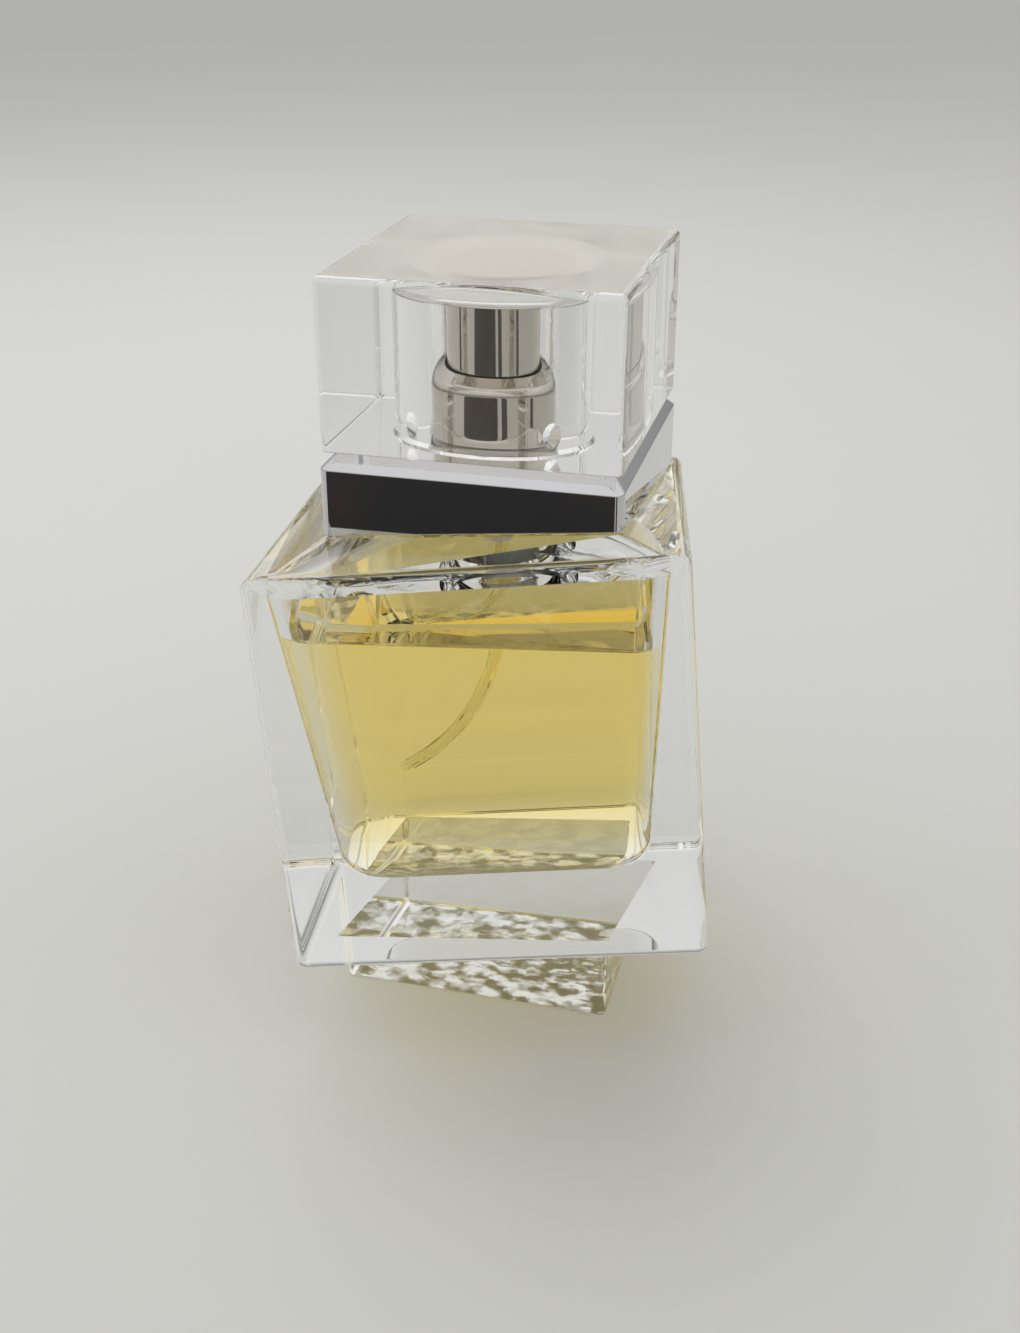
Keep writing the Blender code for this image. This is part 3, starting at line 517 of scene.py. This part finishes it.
class PERFUME_OT_glass(BottleOperator, Operator):
    """Build the leaning glass block with its foot, shoulder, neck and chamber"""

    bl_idname = "perfume_bottle.glass"
    bl_label = "Glass Bottle"

    def execute(self, context):
        s, block = sizes(), Block()
        body = self.cube(s.block_bevel, 6, lambda x, y, z: block.point(
            x * s.block_width * (1 if z > 0 else 0.986),
            y * s.block_width * (1 if z > 0 else 0.986),
            z * s.block_height,
        ))
        combine(body, self.shoulder(block), "UNION")
        combine(body, self.neck(block), "UNION")
        foot = self.cube(s.foot_bevel, 4, lambda x, y, z: (
            x * s.foot_width,
            y * s.foot_width,
            s.foot_height + 1.5 * MM + block.lean(x * s.foot_width, y * s.foot_width) if z > 0 else 0,
        ))
        combine(body, foot, "UNION")
        combine(body, hull("chamber", block.chamber() + block.vault()), "DIFFERENCE")
        base = block.shoulder_top - s.shoulder_rise - s.chamber_ceiling - CUT
        combine(body, rod("bore", s.neck_bore, base, GLASS_HIGH.z + CUT), "DIFFERENCE")
        body.name = "glass_bottle_polished"
        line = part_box("perfume")[1].z + s.meniscus
        cut_level(body, block, line)
        smooth(body, 30)
        material = clear_material("Clear glass", finishes().glass, 1.5, 45, 0.02, 0.985)
        place(body, material, "glass_bottle", "bottle")
        stipple = clear_material("Stippled glass base", finishes().base, 1.5, 500, 1.0, 0.9, 0.12)
        wet = wet_wall_material()
        paint(body, wet, lambda face: face.center.z < line and all(
            block.holds(body.data.vertices[i].co) for i in face.vertices
        ))
        let_floor_through(stipple)
        paint(body, stipple, lambda face: face.normal.z < -0.999 and face.center.z < 0.01 * MM)
        return {"FINISHED"}

    @staticmethod
    def cube(bevel, segments, corner):
        shape = bmesh.new()
        bmesh.ops.create_cube(shape, size=1)
        for vert in shape.verts:
            vert.co = corner(*vert.co)
        bmesh.ops.bevel(
            shape, geom=shape.edges[:], offset=bevel, segments=segments, profile=0.5, affect="EDGES"
        )
        return new_object("block", to_mesh(shape, "block"))

    @staticmethod
    def shoulder(block):
        s = block.s
        half = s.block_width / 2 - 1 * MM
        low = [
            block.point(x * half, y * half, s.block_height / 2 - s.block_bevel)
            for x in (-1, 1) for y in (-1, 1)
        ]
        width = COLLAR_HIGH.x - COLLAR_LOW.x
        high = [
            (x, y, block.shoulder_top + block.lean(x, y))
            for x, y in rounded_square(width, s.collar_corner, CORNER_STEPS)
        ]
        return hull("shoulder", low + high)

    @staticmethod
    def neck(block):
        s, top = block.s, GLASS_HIGH.z
        throat = s.bead_radius - 1 * MM
        base = block.shoulder_top - s.shoulder_rise
        profile = [(0, top)] + arc(s.bead_radius - 0.5 * MM, top - 0.5 * MM, 0.5 * MM, 90, 0, 6)
        profile += arc(s.bead_radius - 0.8 * MM, top - 2.0 * MM, 0.8 * MM, 0, -60, 6)
        profile += [(throat, top - 3.1 * MM), (throat, base), (0, base)]
        return turned("neck", profile)


class PERFUME_OT_liquid(BottleOperator, Operator):
    """Fill the chamber to a level surface, with the edge drawn up along the glass"""

    bl_idname = "perfume_bottle.liquid"
    bl_label = "Perfume"

    def execute(self, context):
        s, block = sizes(), Block()
        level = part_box("perfume")[1].z
        shape = bmesh.new()
        for point in block.chamber(0.02 * MM):
            shape.verts.new(point)
        bmesh.ops.convex_hull(shape, input=shape.verts)
        bmesh.ops.bisect_plane(
            shape, geom=shape.verts[:] + shape.edges[:] + shape.faces[:],
            plane_co=(0, 0, level + s.meniscus), plane_no=(0, 0, 1), clear_outer=True,
        )
        points = [v.co.copy() for v in shape.verts]
        shape.free()
        liquid = hull("perfume_fill", points)
        self.draw_up_edge(liquid, level)
        smooth(liquid, 40)
        place(liquid, liquid_material(level), "perfume", "bottle")
        return {"FINISHED"}

    @staticmethod
    def draw_up_edge(liquid, level):
        """Sinks the middle of the surface to the level in rings, which leaves a curved rim."""
        s = sizes()
        shape = bmesh.new()
        shape.from_mesh(liquid.data)
        top = max(shape.faces, key=lambda f: f.calc_center_median().z)
        for share in (0.45, 0.75, 0.93, 1.0):
            bmesh.ops.inset_region(shape, faces=[top], thickness=0.45 * MM, use_even_offset=True)
            for vert in top.verts:
                vert.co.z = level + s.meniscus * (1 - share)
        shape.to_mesh(liquid.data)
        shape.free()


class PERFUME_OT_tube(BottleOperator, Operator):
    """Finish the curved dip tube"""

    bl_idname = "perfume_bottle.tube"
    bl_label = "Dip Tube"

    def execute(self, context):
        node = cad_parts["dip_tube"]
        tube = new_object("dip_tube_smooth", node.data.copy())
        smooth(tube, 60)
        material = clear_material("Clear tube", finishes().tube, 1.12, 400, 0.02, 0.8)
        place(tube, material, "dip_tube", "bottle")
        return {"FINISHED"}


class PERFUME_OT_cap(BottleOperator, Operator):
    """Build the thick clear cap with its round hollow and four grip nubs"""

    bl_idname = "perfume_bottle.cap"
    bl_label = "Clear Cap"

    def execute(self, context):
        s = sizes()
        edge, width = s.cap_edge, CAP_HIGH.x - CAP_LOW.x
        points = []
        for i in range(7):
            turn = math.radians(90 * i / 6)
            inset, height = edge * (1 - math.cos(turn)), CAP_HIGH.z - edge * (1 - math.sin(turn))
            outline = rounded_square(width - 2 * inset, max(edge - inset, 0.05 * MM), 6)
            points += [(x, y, height) for x, y in outline]
        for inset, rise in ((0.3 * MM, 0), (0.09 * MM, 0.09 * MM), (0, 0.3 * MM)):
            points += [(x, y, CAP_LOW.z + rise) for x, y in rounded_square(width - 2 * inset, edge, 6)]
        cap = hull("cap_polished", points)
        roof = BUTTON_HIGH.z + s.cap_headroom
        fillet = 0.8 * MM
        profile = [(0, roof)] + arc(s.cap_bore - fillet, roof - fillet, fillet, 90, 0)
        profile += [(s.cap_bore, CAP_LOW.z + 0.5 * MM), (s.cap_bore + 0.3 * MM, CAP_LOW.z)]
        profile += [(s.cap_bore + 0.3 * MM, CAP_LOW.z - CUT), (0, CAP_LOW.z - CUT)]
        combine(cap, turned("cap_bore", profile), "DIFFERENCE")
        self.add_nubs(cap)
        smooth(cap, 30)
        material = clear_material("Clear acrylic", finishes().acrylic, 1.49, 55, 0.015, 0.92)
        place(cap, material, "cap_block", "cap")
        satin = clear_material("Satin acrylic top", finishes().cap_top, 1.49, 300, 0.03, 0.9, 0.32)
        paint(cap, satin, lambda face: face.normal.z > 0.999 and face.center.z > CAP_HIGH.z - 0.01 * MM)
        return {"FINISHED"}

    @staticmethod
    def add_nubs(cap):
        s = sizes()
        proud = s.cap_bore - COVER_HIGH.x - GAP
        for quarter in range(4):
            angle = math.radians(45 + 90 * quarter)
            shape = bmesh.new()
            bmesh.ops.create_uvsphere(shape, u_segments=40, v_segments=24, radius=s.nub_radius)
            reach = s.cap_bore - proud + 0.4 * s.nub_radius
            turn = Matrix.Rotation(angle, 4, "Z")
            place_at = Matrix.Translation((0, 0, CAP_LOW.z + 2.3 * MM)) @ turn
            place_at @= Matrix.Translation((reach, 0, 0)) @ Matrix.Diagonal((0.4, 1, 1, 1))
            bmesh.ops.transform(shape, matrix=place_at, verts=shape.verts)
            combine(cap, new_object("nub", to_mesh(shape, "nub")), "UNION")


class PERFUME_OT_collar(BottleOperator, Operator):
    """Build the wedge-shaped chrome collar"""

    bl_idname = "perfume_bottle.collar"
    bl_label = "Collar"

    def execute(self, context):
        s, block = sizes(), Block()
        width, top = COLLAR_HIGH.x - COLLAR_LOW.x, COLLAR_HIGH.z
        edge = top - s.collar_chamfer

        def outline(across, height_at):
            return [(x, y, height_at(x, y)) for x, y in rounded_square(across, s.collar_corner, CORNER_STEPS)]

        def base(x, y):
            return block.shoulder_top + GAP + block.lean(x, y)

        outer = outline(width, base) + outline(width, lambda x, y: edge)
        outer += outline(width - 2 * s.collar_chamfer, lambda x, y: top)
        shell = hull("collar_plated", outer)
        bevelled(shell, 0.12 * MM, 3, 30)
        wall = s.collar_wall
        inner = outline(width - 2 * wall, lambda x, y: base(x, y) - CUT)
        inner += outline(width - 2 * wall, lambda x, y: edge - wall / 2)
        inner += outline(width - 2 * s.collar_chamfer - wall, lambda x, y: top - wall)
        combine(shell, hull("hollow", inner), "DIFFERENCE")
        mouth = rod("mouth", COVER_HIGH.x + 0.4 * MM, top - 3 * MM, top + MM)
        combine(shell, mouth, "DIFFERENCE")
        smooth(shell, 20)
        chrome = metal_material("Polished chrome", finishes().chrome, 0.03, 120)
        place(shell, chrome, "collar_shell", "bottle")
        return {"FINISHED"}


class PERFUME_OT_pump_skins(BottleOperator, Operator):
    """Build the polished cover over the crimp and the polished skin of the push button"""

    bl_idname = "perfume_bottle.pump_skins"
    bl_label = "Pump Skins"

    def execute(self, context):
        chrome = metal_material("Polished pump metal", finishes().pump_metal, 0.04, 160)
        radius, shoulder = COVER_HIGH.x, COVER_HIGH.z - 0.5 * MM
        fillet, wall, mouth = 1.1 * MM, 0.5 * MM, BUTTON_HIGH.x + 0.4 * MM
        profile = [(mouth, COVER_HIGH.z)]
        profile += arc(radius - fillet, shoulder - fillet, fillet, 90, 0)
        profile += [(radius, COVER_LOW.z), (radius - wall, COVER_LOW.z)]
        profile += arc(radius - fillet, shoulder - fillet, fillet - wall, 0, 90)
        profile += [(mouth, COVER_HIGH.z - wall)]
        cover = turned("cover_polished", profile, ring=True)
        smooth(cover, 35)
        place(cover, chrome, "ferrule_cover", "bottle")

        top, base, radius = BUTTON_HIGH.z, BUTTON_LOW.z, BUTTON_HIGH.x
        fillet, wall = 0.5 * MM, 0.4 * MM
        skin = [(0, top)] + arc(radius - fillet, top - fillet, fillet, 90, 0)
        skin += [(radius, base), (radius - wall, base), (radius - wall, top - wall), (0, top - wall)]
        button = turned("button_polished", skin)
        window = rod("window", 1.7 * MM, 4 * MM, 12 * MM)
        window.matrix_world = Matrix.Translation((0, 0, base + 5.2 * MM)) @ Matrix.Rotation(
            math.radians(-90), 4, "X"
        )
        combine(button, window, "DIFFERENCE")
        smooth(button, 35)
        place(button, chrome, "actuator_shell", "actuator")
        return {"FINISHED"}


class PERFUME_OT_pump_parts(BottleOperator, Operator):
    """Finish the crimped ferrule, the seals and the pump's moulded and steel parts"""

    bl_idname = "perfume_bottle.pump_parts"
    bl_label = "Pump Parts"

    def execute(self, context):
        f = finishes()
        white = moulded_material("Moulded white plastic", f.white, 0.35)
        dark = moulded_material("Moulded dark plastic", f.dark, 0.4)
        amber = moulded_material("Moulded amber plastic", f.core, 0.3)
        rubber = moulded_material("Soft rubber", f.rubber, 0.7, 500)
        steel = metal_material("Drawn steel", f.steel, 0.25, 700, (1, 1, 6))
        aluminium = metal_material("Spun aluminium", f.aluminium, 0.3, 400, (1, 1, 30))
        groups = (
            (white, "white_plastic", "pump_housing turret stem piston valve_pin actuator_core"),
            (dark, "dark_plastic", "spray_insert"),
            (amber, "dark_plastic", "collar_core"),
            (rubber, "rubber", "neck_gasket stem_gasket"),
            (steel, "steel", "check_ball"),
            (aluminium, "aluminium", "crimp_ferrule"),
        )
        for material, slot, names in groups:
            for name in names.split():
                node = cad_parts[name]
                node.data.materials.clear()
                node.data.materials.append(material)
                node.data.shade_smooth()
                node.data.set_sharp_from_angle(angle=math.radians(35))
        return {"FINISHED"}


class PERFUME_OT_spring(BottleOperator, Operator):
    """Build the return spring at its rest length, as a fixed coil that does not shorten when the pump is
    pressed
    """

    bl_idname = "perfume_bottle.spring"
    bl_label = "Return Spring"

    def execute(self, context):
        low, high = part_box("return_spring")
        wire, turns, steps = 0.2 * MM, 5, 32
        radius = high.x - wire
        path = bpy.data.curves.new("coil", "CURVE")
        path.dimensions = "3D"
        path.bevel_depth = wire
        path.bevel_resolution = 4
        path.use_fill_caps = True
        spline = path.splines.new("POLY")
        spline.points.add(turns * steps)
        for i, point in enumerate(spline.points):
            angle = math.tau * i / steps
            rise = low.z + wire + (high.z - low.z - 2 * wire) * i / (turns * steps)
            point.co = (radius * math.cos(angle), radius * math.sin(angle), rise, 1)
        guide = new_object("coil", path)
        graph = bpy.context.evaluated_depsgraph_get()
        mesh = bpy.data.meshes.new_from_object(guide.evaluated_get(graph))
        bpy.data.objects.remove(guide, do_unlink=True)
        shape = bmesh.new()
        shape.from_mesh(mesh)
        bmesh.ops.remove_doubles(shape, verts=shape.verts, dist=0.001 * MM)
        spring = new_object("return_spring_coil", to_mesh(shape, "return_spring_coil"))
        spring.data.shade_smooth()
        steel = metal_material("Spring wire", finishes().steel, 0.25, 700)
        place(spring, steel, "return_spring", "bottle")
        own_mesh(spring)
        return {"FINISHED"}


class PERFUME_OT_stage(BottleOperator, Operator):
    """Set up the floor, the dark card, the soft lamps, the surroundings and the camera"""

    bl_idname = "perfume_bottle.stage"
    bl_label = "Stage"

    def execute(self, context):
        self.floor()
        self.card()
        self.bright_card()
        self.surroundings(context.scene)
        self.lamp("Rear softbox", (-0.18, 0.27, 0.62), (0, 0, 0.04), 0.35, 1.9)
        self.lamp("Left softbox", (-0.65, -0.05, 0.45), (0, 0, 0.04), 0.4, 0.5)
        self.camera(context.scene)
        context.scene.cycles.max_bounces = 24
        context.scene.cycles.transmission_bounces = 24
        context.scene.cycles.glossy_bounces = 12
        context.scene.cycles.transparent_max_bounces = 24
        context.scene.view_settings.view_transform = "Standard"
        return {"FINISHED"}

    @staticmethod
    def floor():
        shape = bmesh.new()
        bmesh.ops.create_circle(shape, cap_ends=True, segments=96, radius=4)
        bmesh.ops.translate(shape, verts=shape.verts, vec=(0, 0, -0.0001))
        floor = new_object("floor", to_mesh(shape, "floor"))
        material, shader, tree = base_material("Matt pale floor", finishes().floor, 0.75)
        shader.inputs["Specular IOR Level"].default_value = 0.0
        value = noise(tree, 8, 3.0)
        add_tint(tree, shader, value, finishes().floor, 0.985)
        floor.data.materials.append(material)

    @staticmethod
    def card():
        """A dark card in front, which only the polished surfaces reflect."""
        shape = bmesh.new()
        for low, high in ((-0.12, 0.06), (0.082, 0.12)):
            corners = ((low * 3, -0.5), (high * 3, -0.5), (high, -0.105), (low, -0.105))
            shape.faces.new([shape.verts.new((x, y, 0.002)) for x, y in corners])
        card = new_object("dark_card", to_mesh(shape, "dark_card"))
        material, shader, tree = base_material("Dark card", finishes().card, 0.9)
        ramp = tree.nodes.new("ShaderNodeValToRGB")
        ramp.color_ramp.elements[0].position = 0.45
        ramp.color_ramp.elements[0].color = (*finishes().card, 1)
        ramp.color_ramp.elements[1].position = 0.75
        ramp.color_ramp.elements[1].color = (0.035, 0.012, 0.006, 1)
        tree.links.new(noise(tree, 14, 1.0), ramp.inputs["Fac"])
        tree.links.new(ramp.outputs["Color"], shader.inputs["Base Color"])
        path = tree.nodes.new("ShaderNodeLightPath")

        mirrored = math_node(tree, "GREATER_THAN", path.outputs["Glossy Depth"], 0.5)
        bare = math_node(tree, "LESS_THAN", path.outputs["Transmission Depth"], 0.5)
        capped = math_node(tree, "GREATER_THAN", path.outputs["Transmission Depth"], 3.5)
        twice = math_node(tree, "LESS_THAN", path.outputs["Transmission Depth"], 4.5)
        once = math_node(tree, "LESS_THAN", path.outputs["Glossy Depth"], 1.5)
        capped = math_node(tree, "MULTIPLY", capped, math_node(tree, "MULTIPLY", twice, once))
        seen = math_node(tree, "MULTIPLY", mirrored, math_node(tree, "MAXIMUM", bare, capped))
        clear = tree.nodes.new("ShaderNodeBsdfTransparent")
        mix = tree.nodes.new("ShaderNodeMixShader")
        tree.links.new(seen, mix.inputs["Fac"])
        tree.links.new(clear.outputs["BSDF"], mix.inputs[1])
        tree.links.new(shader.outputs["BSDF"], mix.inputs[2])
        tree.links.new(mix.outputs["Shader"], tree.nodes["Material Output"].inputs["Surface"])
        card.data.materials.append(material)
        card.visible_camera = card.visible_diffuse = card.visible_shadow = False
        card.visible_volume_scatter = False

    @staticmethod
    def bright_card():
        """A bright card behind, which only the polished surfaces reflect."""
        shape = bmesh.new()
        bmesh.ops.create_grid(shape, x_segments=1, y_segments=1, size=0.5)
        card = new_object("bright_card", to_mesh(shape, "bright_card"))
        card.location = (-0.24, 0.95, 0.62)
        card.rotation_euler = (Vector((0, 0, 0.09)) - card.location).to_track_quat("Z", "Y").to_euler()
        material, shader, tree = base_material("Bright card", (0, 0, 0), 1.0)
        add_tint(tree, shader, noise(tree, 4), (0.02, 0.02, 0.02), 0.9)
        shader.inputs["Emission Color"].default_value = (1.0, 0.97, 0.9, 1)
        shader.inputs["Emission Strength"].default_value = 1.1
        card.data.materials.append(material)
        card.visible_camera = card.visible_diffuse = card.visible_shadow = False
        card.visible_transmission = card.visible_volume_scatter = False

    @staticmethod
    def surroundings(scene):
        """A pale studio that is grey at the horizon and white overhead."""
        world = bpy.data.worlds.new("Studio")
        world.use_nodes = True
        scene.world = world
        tree = world.node_tree
        background = tree.nodes["Background"]
        background.inputs["Strength"].default_value = 0.95
        coordinates = tree.nodes.new("ShaderNodeTexCoord")
        split = tree.nodes.new("ShaderNodeSeparateXYZ")
        ramp = tree.nodes.new("ShaderNodeValToRGB")
        first, last = ramp.color_ramp.elements
        first.position, first.color = 0.0, (0.13, 0.125, 0.11, 1)
        last.position, last.color = 0.7, (0.97, 0.97, 0.97, 1)
        for height, level in ((0.12, 0.34), (0.3, 0.66)):
            ramp.color_ramp.elements.new(height).color = (level, level, level * 0.98, 1)
        tree.links.new(coordinates.outputs["Generated"], split.inputs["Vector"])
        tree.links.new(split.outputs["Z"], ramp.inputs["Fac"])
        path = tree.nodes.new("ShaderNodeLightPath")
        pale = tree.nodes.new("ShaderNodeMix")
        pale.data_type = "RGBA"
        pale.inputs["B"].default_value = (0.60, 0.605, 0.59, 1)
        tree.links.new(path.outputs["Is Camera Ray"], pale.inputs["Factor"])
        tree.links.new(ramp.outputs["Color"], pale.inputs["A"])
        tree.links.new(pale.outputs["Result"], background.inputs["Color"])

    @staticmethod
    def lamp(name, place_at, aim, size, power):
        light = bpy.data.lights.new(name, "AREA")
        light.size = size
        light.energy = power
        lamp = bpy.data.objects.new(name, light)
        bpy.context.scene.collection.objects.link(lamp)
        lamp.location = place_at
        lamp.visible_glossy = lamp.visible_transmission = False
        lamp.rotation_euler = (Vector(aim) - Vector(place_at)).to_track_quat("-Z", "Y").to_euler()

    @staticmethod
    def camera(scene):
        view = bpy.data.cameras.new("Camera")
        view.lens = 44.03
        view.sensor_width = 36
        view.clip_start = 0.01
        camera = bpy.data.objects.new("Camera", view)
        scene.collection.objects.link(camera)
        camera.location = (0.04864, -0.18827, 0.13873)
        target = Vector((0.00038, 0.0001, 0.04118))
        camera.rotation_euler = (target - camera.location).to_track_quat("-Z", "Y").to_euler()
        scene.camera = camera


OPERATORS = (
    PERFUME_OT_glass,
    PERFUME_OT_liquid,
    PERFUME_OT_tube,
    PERFUME_OT_cap,
    PERFUME_OT_collar,
    PERFUME_OT_pump_skins,
    PERFUME_OT_pump_parts,
    PERFUME_OT_spring,
    PERFUME_OT_stage,
)


class PERFUME_PT_bottle(Panel):
    """Sizes, finishes and pieces of the perfume bottle"""

    bl_idname = "PERFUME_PT_bottle"
    bl_label = "Perfume Bottle"
    bl_space_type = "VIEW_3D"
    bl_region_type = "UI"
    bl_category = "Perfume Bottle"

    def draw(self, context):
        for group in (context.scene.perfume_bottle_sizes, context.scene.perfume_bottle_finishes):
            box = self.layout.box()
            for name in group.__annotations__:
                box.prop(group, name)
        for operator in OPERATORS:
            self.layout.operator(operator.bl_idname)


CLASSES = (PerfumeBottleSizes, PerfumeBottleFinishes, *OPERATORS, PERFUME_PT_bottle)


def register():
    for item in CLASSES:
        bpy.utils.register_class(item)
    bpy.types.Scene.perfume_bottle_sizes = PointerProperty(type=PerfumeBottleSizes)
    bpy.types.Scene.perfume_bottle_finishes = PointerProperty(type=PerfumeBottleFinishes)


def unregister():
    del bpy.types.Scene.perfume_bottle_finishes
    del bpy.types.Scene.perfume_bottle_sizes
    for item in reversed(CLASSES):
        bpy.utils.unregister_class(item)


def main():
    register()
    bpy.ops.perfume_bottle.glass()
    bpy.ops.perfume_bottle.liquid()
    bpy.ops.perfume_bottle.tube()
    bpy.ops.perfume_bottle.cap()
    bpy.ops.perfume_bottle.collar()
    bpy.ops.perfume_bottle.pump_skins()
    bpy.ops.perfume_bottle.pump_parts()
    bpy.ops.perfume_bottle.spring()
    bpy.ops.perfume_bottle.stage()


if __name__ == "__main__":
    main()
